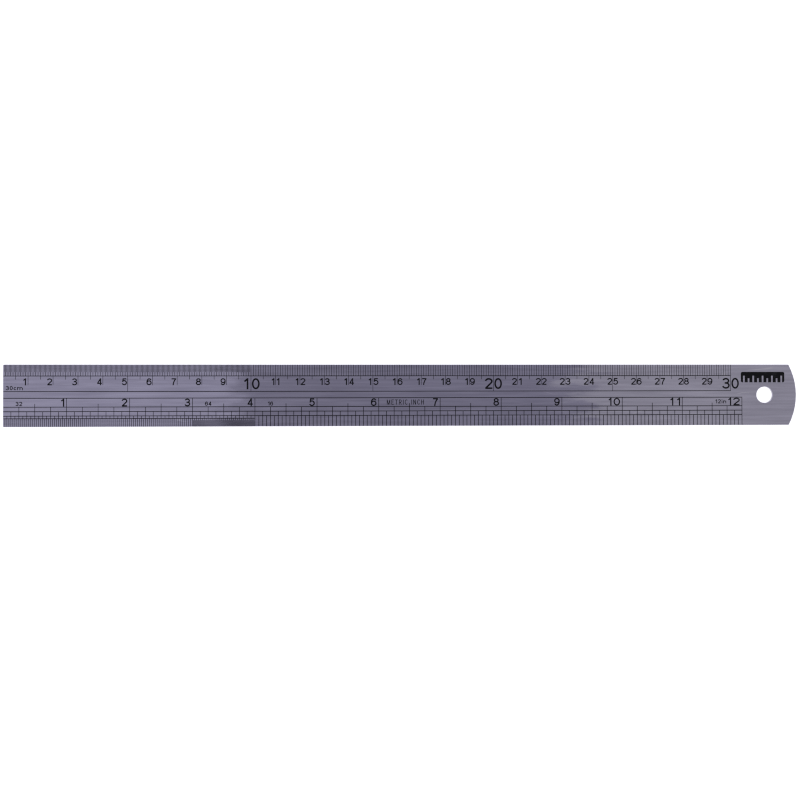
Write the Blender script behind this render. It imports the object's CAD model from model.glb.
import math

import bpy
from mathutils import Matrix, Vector


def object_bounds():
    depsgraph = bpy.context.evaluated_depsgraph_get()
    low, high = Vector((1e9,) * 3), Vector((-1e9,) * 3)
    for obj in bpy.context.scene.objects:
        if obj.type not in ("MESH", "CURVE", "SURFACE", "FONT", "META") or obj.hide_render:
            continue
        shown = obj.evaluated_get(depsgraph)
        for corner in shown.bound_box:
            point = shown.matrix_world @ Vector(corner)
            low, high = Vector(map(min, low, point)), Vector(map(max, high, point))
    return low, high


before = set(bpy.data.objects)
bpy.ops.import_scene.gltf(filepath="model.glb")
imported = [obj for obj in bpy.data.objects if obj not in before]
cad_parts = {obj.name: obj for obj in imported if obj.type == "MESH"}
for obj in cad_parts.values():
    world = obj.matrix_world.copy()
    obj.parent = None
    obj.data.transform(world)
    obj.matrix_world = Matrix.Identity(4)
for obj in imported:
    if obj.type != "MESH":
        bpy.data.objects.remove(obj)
cad_low, cad_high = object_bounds()

# Everything is in metres, in the rule's own frame: X along the scale, Y to the metric edge, and Z out of
# the marked face.
MILLIMETRE = 0.001
MIDDLE = Vector((0.16, 0, 0))

# Tones, as linear RGB.
STEEL_BRIGHT = (0.67, 0.65, 0.783)
STEEL_DULL = (0.465, 0.45, 0.553)
STEEL_SCRATCHED = (0.75, 0.73, 0.83)
STEEL_CUT = (0.42, 0.41, 0.47)
FILL_BLACK = (0.003, 0.003, 0.005)
FILL_WORN = (0.02, 0.02, 0.025)
FLOOR_WHITE = (0.93, 0.93, 0.935)
FLOOR_SHADE = (0.91, 0.91, 0.915)

# The steel's finish. First, how many features there are per metre, along the rule, across it and through it.
GRAIN = (60, 5200, 5200)
STREAKS = (40, 850, 850)
PATCHES = (30, 110, 110)
WAVES = (55, 240, 240)
SCRATCH_PATHS = (9, 90, 90)
SCRATCH_GAPS = (60, 60, 60)
# Then how strong they are: shares of the tone, slope and height of the surface, and roughness.
PATCH_SHARE = 0.4
STREAK_SHARE = 0.6
SCRATCH_BREADTH = 0.0035
WAVE_SLOPE = 0.042
GRAIN_RELIEF = 0.003 * MILLIMETRE
GRAIN_SMOOTHEST = 0.07
GRAIN_ROUGHEST = 0.14
ROUGHER_PATCH = 0.04
ROUGHER_CUT = 0.25

# The fill's finish.
WORN_PARTS = (350, 900, 900)
PITS = (9000, 9000, 9000)
PIT_RELIEF = 0.01 * MILLIMETRE
FILL_SHINE = 0.15
FILL_SMOOTHEST = 0.42
FILL_ROUGHEST = 0.62

# The floor is a light table.
FLOOR_SIZE = 60
FLOOR_MOTTLE = (300, 300, 300)
FLOOR_GLOW = 0.7

# The surroundings: white where they meet the floor, pale above it and dimmer overhead. Each tone is keyed by
# the upward part of the direction that it is seen in.
SURROUNDINGS = {0: (1, 1, 1), 0.12: (0.65, 0.65, 0.66), 0.85: (0.26, 0.254, 0.3)}

# Two level cards above the rule, whose mirror images light its two ends and leave its middle darker.
CARD_HEIGHT = 0.3
CARD_SIZE = 0.6
LEFT_CARD_EDGE = 0.062
LEFT_CARD_POWER = 0.165
LEFT_CARD_TINT = (1, 0.99, 1.1)
RIGHT_CARD_EDGE = 0.304
RIGHT_CARD_POWER = 0.16
RIGHT_CARD_TINT = (1, 1, 0.8)

# Two large weak lamps, one beyond each edge.
SIDE_LAMP_SIZE = (2.4, 1.2)
SIDE_LAMPS = {"metric_side": ((0.1, 1.3, 0.9), 4.5), "inch_side": ((0.2, -1.3, 0.9), 3.5)}

# The camera looks down on the marked face, a little nearer to the zero end.
CAMERA_PLACE = Vector((0.1375, -0.00756, 0.4591))
CAMERA_TILT = (math.radians(0.708), math.radians(-2.957), math.radians(-0.137))
CAMERA_LENS = 50
FILTER_WIDTH = 1.25  # in pixels: a little crisper than the usual 1.5, for the fine ticks


class Nodes:
    """Short calls for building one material's node tree."""

    def __init__(self, name):
        self.material = bpy.data.materials.new(name)
        self.material.use_nodes = True
        self.tree = self.material.node_tree
        self.shader = self.tree.nodes["Principled BSDF"]
        self.place = self.add("ShaderNodeTexCoord").outputs["Object"]

    def add(self, kind, **settings):
        node = self.tree.nodes.new(kind)
        for key, value in settings.items():
            setattr(node, key, value)
        return node

    def join(self, source, target):
        self.tree.links.new(source, target)

    def set(self, **numbers):
        """Even numbers or tones, set on the shader itself."""
        for name, number in numbers.items():
            self.shader.inputs[name.replace("_", " ")].default_value = number

    def feed(self, name, source):
        self.join(source, self.shader.inputs[name])

    def noise(self, scales, detail=2):
        """Noise with that many features per metre along each axis, so that unequal numbers give streaks.

        Its values lie around 0.5, and nearly all of them between 0.25 and 0.75.
        """
        mapping = self.add("ShaderNodeMapping")
        mapping.inputs["Scale"].default_value = scales
        self.join(self.place, mapping.inputs["Vector"])
        node = self.add("ShaderNodeTexNoise")
        node.inputs["Scale"].default_value = 1
        node.inputs["Detail"].default_value = detail
        self.join(mapping.outputs["Vector"], node.inputs["Vector"])
        return node.outputs["Fac"]

    def spread(self, value, low, high, to_low, to_high):
        """A value moved from one range to another, and kept inside it."""
        node = self.add("ShaderNodeMapRange")
        for name, number in zip(("From Min", "From Max", "To Min", "To Max"), (low, high, to_low, to_high)):
            node.inputs[name].default_value = number
        self.join(value, node.inputs["Value"])
        return node.outputs["Result"]

    def calculate(self, operation, *values):
        node = self.add("ShaderNodeMath", operation=operation)
        for socket, value in zip(node.inputs, values):
            if isinstance(value, (int, float)):
                socket.default_value = value
            else:
                self.join(value, socket)
        return node.outputs["Value"]

    def sum(self, *values):
        total = values[0]
        for value in values[1:]:
            total = self.calculate("ADD", total, value)
        return total

    def mix(self, share, first, second):
        """The first tone where the share is 0, and the second where it is 1."""
        node = self.add("ShaderNodeMix", data_type="RGBA")
        self.join(share, node.inputs["Factor"])
        # A mix node has one pair of inputs for each kind of data, and all the pairs are called A and B.
        sockets = [socket for socket in node.inputs if socket.type == "RGBA"]
        for socket, tone in zip(sockets, (first, second)):
            if isinstance(tone, tuple):
                socket.default_value = (*tone, 1)
            else:
                self.join(tone, socket)
        return next(socket for socket in node.outputs if socket.type == "RGBA")

    def steepness(self):
        """0 on the level faces, 1 on the walls that stand square to them."""
        parts = self.add("ShaderNodeSeparateXYZ")
        self.join(self.add("ShaderNodeNewGeometry").outputs["True Normal"], parts.inputs["Vector"])
        return self.spread(self.calculate("ABSOLUTE", parts.outputs["Z"]), 0.2, 0.5, 1, 0)

    def waviness(self, value, slope):
        """The surface's own normal, leaning along X by up to that slope either way as the value changes."""
        lean = self.add("ShaderNodeCombineXYZ")
        self.join(self.spread(value, 0.25, 0.75, -slope, slope), lean.inputs["X"])
        tilted = self.add("ShaderNodeVectorMath", operation="ADD")
        self.join(self.add("ShaderNodeNewGeometry").outputs["Normal"], tilted.inputs[0])
        self.join(lean.outputs["Vector"], tilted.inputs[1])
        unit = self.add("ShaderNodeVectorMath", operation="NORMALIZE")
        self.join(tilted.outputs["Vector"], unit.inputs[0])
        return unit.outputs["Vector"]

    def bump(self, height, distance, under=None):
        """The normal of a surface that rises by that distance where the height is 1."""
        node = self.add("ShaderNodeBump")
        node.inputs["Distance"].default_value = distance
        self.join(height, node.inputs["Height"])
        if under:
            self.join(under, node.inputs["Normal"])
        return node.outputs["Normal"]


def scratches(n):
    """Fine handling scratches: 1 along the thin lines where a noise passes its middle value, 0 elsewhere."""
    path = n.noise(SCRATCH_PATHS, detail=1)
    off_path = n.calculate("ABSOLUTE", n.calculate("SUBTRACT", path, 0.5))
    line = n.spread(off_path, 0, SCRATCH_BREADTH, 1, 0)
    broken = n.spread(n.noise(SCRATCH_GAPS), 0.52, 0.6, 0, 1)
    return n.calculate("MULTIPLY", line, broken)


def brushed_steel():
    """Brushed stainless strip, slightly wavy, patchy and scratched, with duller walls where it was cut."""
    n = Nodes("brushed_steel")
    n.set(Metallic=1)
    grain = n.noise(GRAIN, detail=3)
    streaks = n.noise(STREAKS, detail=4)
    patches = n.noise(PATCHES, detail=5)
    scratched = scratches(n)
    tone = n.sum(n.spread(patches, 0.3, 0.7, 0, PATCH_SHARE), n.spread(streaks, 0.32, 0.68, 0, STREAK_SHARE))
    cut = n.steepness()
    face = n.mix(scratched, n.mix(tone, STEEL_DULL, STEEL_BRIGHT), STEEL_SCRATCHED)
    n.feed("Base Color", n.mix(cut, face, STEEL_CUT))
    brushed = n.spread(grain, 0.25, 0.75, GRAIN_SMOOTHEST, GRAIN_ROUGHEST)
    face_roughness = n.sum(brushed, n.spread(patches, 0.3, 0.7, 0, ROUGHER_PATCH))
    n.feed("Roughness", n.sum(face_roughness, n.calculate("MULTIPLY", cut, ROUGHER_CUT)))
    wavy = n.waviness(n.noise(WAVES, detail=4), WAVE_SLOPE)
    n.feed("Normal", n.bump(n.sum(grain, streaks, scratched), GRAIN_RELIEF, wavy))
    return n.material


def black_fill():
    """Enamel left in the etching, matt, a little thin and grey where it has worn."""
    n = Nodes("black_fill")
    n.set(Metallic=0, Specular_IOR_Level=FILL_SHINE)
    wear = n.noise(WORN_PARTS, detail=4)
    pits = n.noise(PITS)
    n.feed("Base Color", n.mix(n.spread(wear, 0.5, 0.8, 0, 1), FILL_BLACK, FILL_WORN))
    n.feed("Roughness", n.spread(pits, 0.2, 0.8, FILL_SMOOTHEST, FILL_ROUGHEST))
    n.feed("Normal", n.bump(pits, PIT_RELIEF))
    return n.material


def lit_floor():
    """A white light table: matt, with a glow of its own that thins the shadows."""
    n = Nodes("lit_floor")
    n.set(Roughness=0.9, Emission_Color=(1, 1, 1, 1), Emission_Strength=FLOOR_GLOW)
    n.feed("Base Color", n.mix(n.noise(FLOOR_MOTTLE), FLOOR_WHITE, FLOOR_SHADE))
    return n.material


def dress(node, material):
    node.data.materials.clear()
    node.data.materials.append(material)


def dress_all():
    steel, fill = brushed_steel(), black_fill()
    for name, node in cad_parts.items():
        dress(node, steel if name == "blade" else fill)


def lay_floor():
    bpy.ops.mesh.primitive_plane_add(size=FLOOR_SIZE, location=(MIDDLE.x, 0, cad_low.z))
    floor = bpy.context.object
    floor.name = "floor"
    dress(floor, lit_floor())


def soft_light(name, place, size, power, aim, tint=(1, 1, 1)):
    """A rectangular studio light that faces that point."""
    lamp = bpy.data.lights.new(name, "AREA")
    lamp.shape = "RECTANGLE"
    lamp.size, lamp.size_y = size
    lamp.energy = power
    lamp.color = tint
    stand = bpy.data.objects.new(name, lamp)
    bpy.context.scene.collection.objects.link(stand)
    stand.location = place
    stand.rotation_euler = (Vector(aim) - stand.location).to_track_quat("-Z", "Y").to_euler()


def overhead_card(name, middle_x, power, tint):
    """A large level card above the rule, facing down."""
    soft_light(name, (middle_x, 0, CARD_HEIGHT), (CARD_SIZE, CARD_SIZE), power, (middle_x, 0, 0), tint)


def pale_surroundings():
    """A backdrop all round, whose tone fades from the horizon to overhead."""
    world = bpy.data.worlds.new("studio")
    world.use_nodes = True
    nodes, links = world.node_tree.nodes, world.node_tree.links
    direction = nodes.new("ShaderNodeTexCoord").outputs["Generated"]
    parts = nodes.new("ShaderNodeSeparateXYZ")
    fade = nodes.new("ShaderNodeValToRGB")
    stops = fade.color_ramp.elements
    while len(stops) < len(SURROUNDINGS):
        stops.new(1)
    for stop, (upward, tone) in zip(stops, SURROUNDINGS.items()):
        stop.position = upward
        stop.color = (*tone, 1)
    links.new(direction, parts.inputs["Vector"])
    links.new(parts.outputs["Z"], fade.inputs["Fac"])
    links.new(fade.outputs["Color"], nodes["Background"].inputs["Color"])
    bpy.context.scene.world = world


def light_studio():
    pale_surroundings()
    for name, (place, power) in SIDE_LAMPS.items():
        soft_light(name, place, SIDE_LAMP_SIZE, power, MIDDLE)
    overhead_card("left_card", LEFT_CARD_EDGE - CARD_SIZE / 2, LEFT_CARD_POWER, LEFT_CARD_TINT)
    overhead_card("right_card", RIGHT_CARD_EDGE + CARD_SIZE / 2, RIGHT_CARD_POWER, RIGHT_CARD_TINT)


def place_camera():
    lens = bpy.data.cameras.new("camera")
    lens.lens = CAMERA_LENS
    lens.clip_start, lens.clip_end = 0.01, 20
    camera = bpy.data.objects.new("camera", lens)
    bpy.context.scene.collection.objects.link(camera)
    camera.location = CAMERA_PLACE
    camera.rotation_euler = CAMERA_TILT
    bpy.context.scene.camera = camera


bpy.context.scene.view_settings.view_transform = "Standard"
bpy.context.scene.cycles.filter_width = FILTER_WIDTH
dress_all()
lay_floor()
light_studio()
place_camera()
